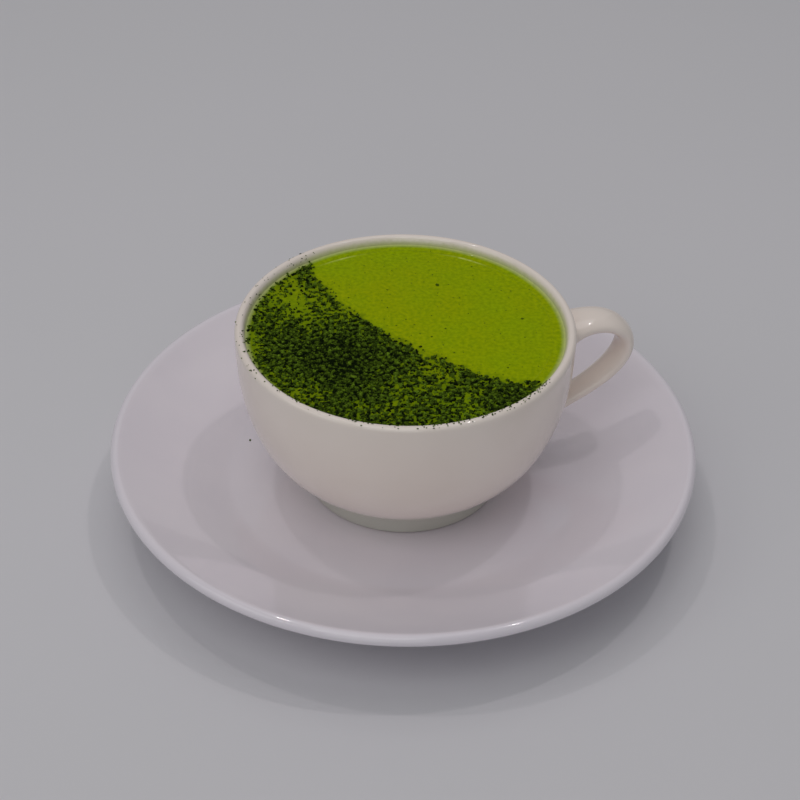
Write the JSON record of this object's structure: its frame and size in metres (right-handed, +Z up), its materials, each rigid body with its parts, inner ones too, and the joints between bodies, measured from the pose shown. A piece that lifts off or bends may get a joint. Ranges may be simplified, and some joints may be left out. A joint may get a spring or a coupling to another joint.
{
  "type": "matcha latte in a cup with saucer",
  "caption": "Wide porcelain cup with an ear handle on a round saucer, filled nearly to the lip with a green drink.",
  "frame": {"origin": "middle of the saucer's foot ring, on the surface that the saucer stands on", "axes": "+Z up along the axis of the cup and saucer; the handle points about 15 degrees from +X towards +Y"},
  "size_m": [0.169, 0.169, 0.0611],
  "materials": {
    "saucer_glaze": "gloss",
    "cup_glaze": "gloss",
    "matcha_drink": "opaque liquid, satin surface",
    "matcha_powder": "matt powder"
  },
  "bodies": {
    "root": {"saucer": "saucer_glaze", "cup": "cup_glaze", "latte": "matcha_drink"}
  },
  "joints": []
}
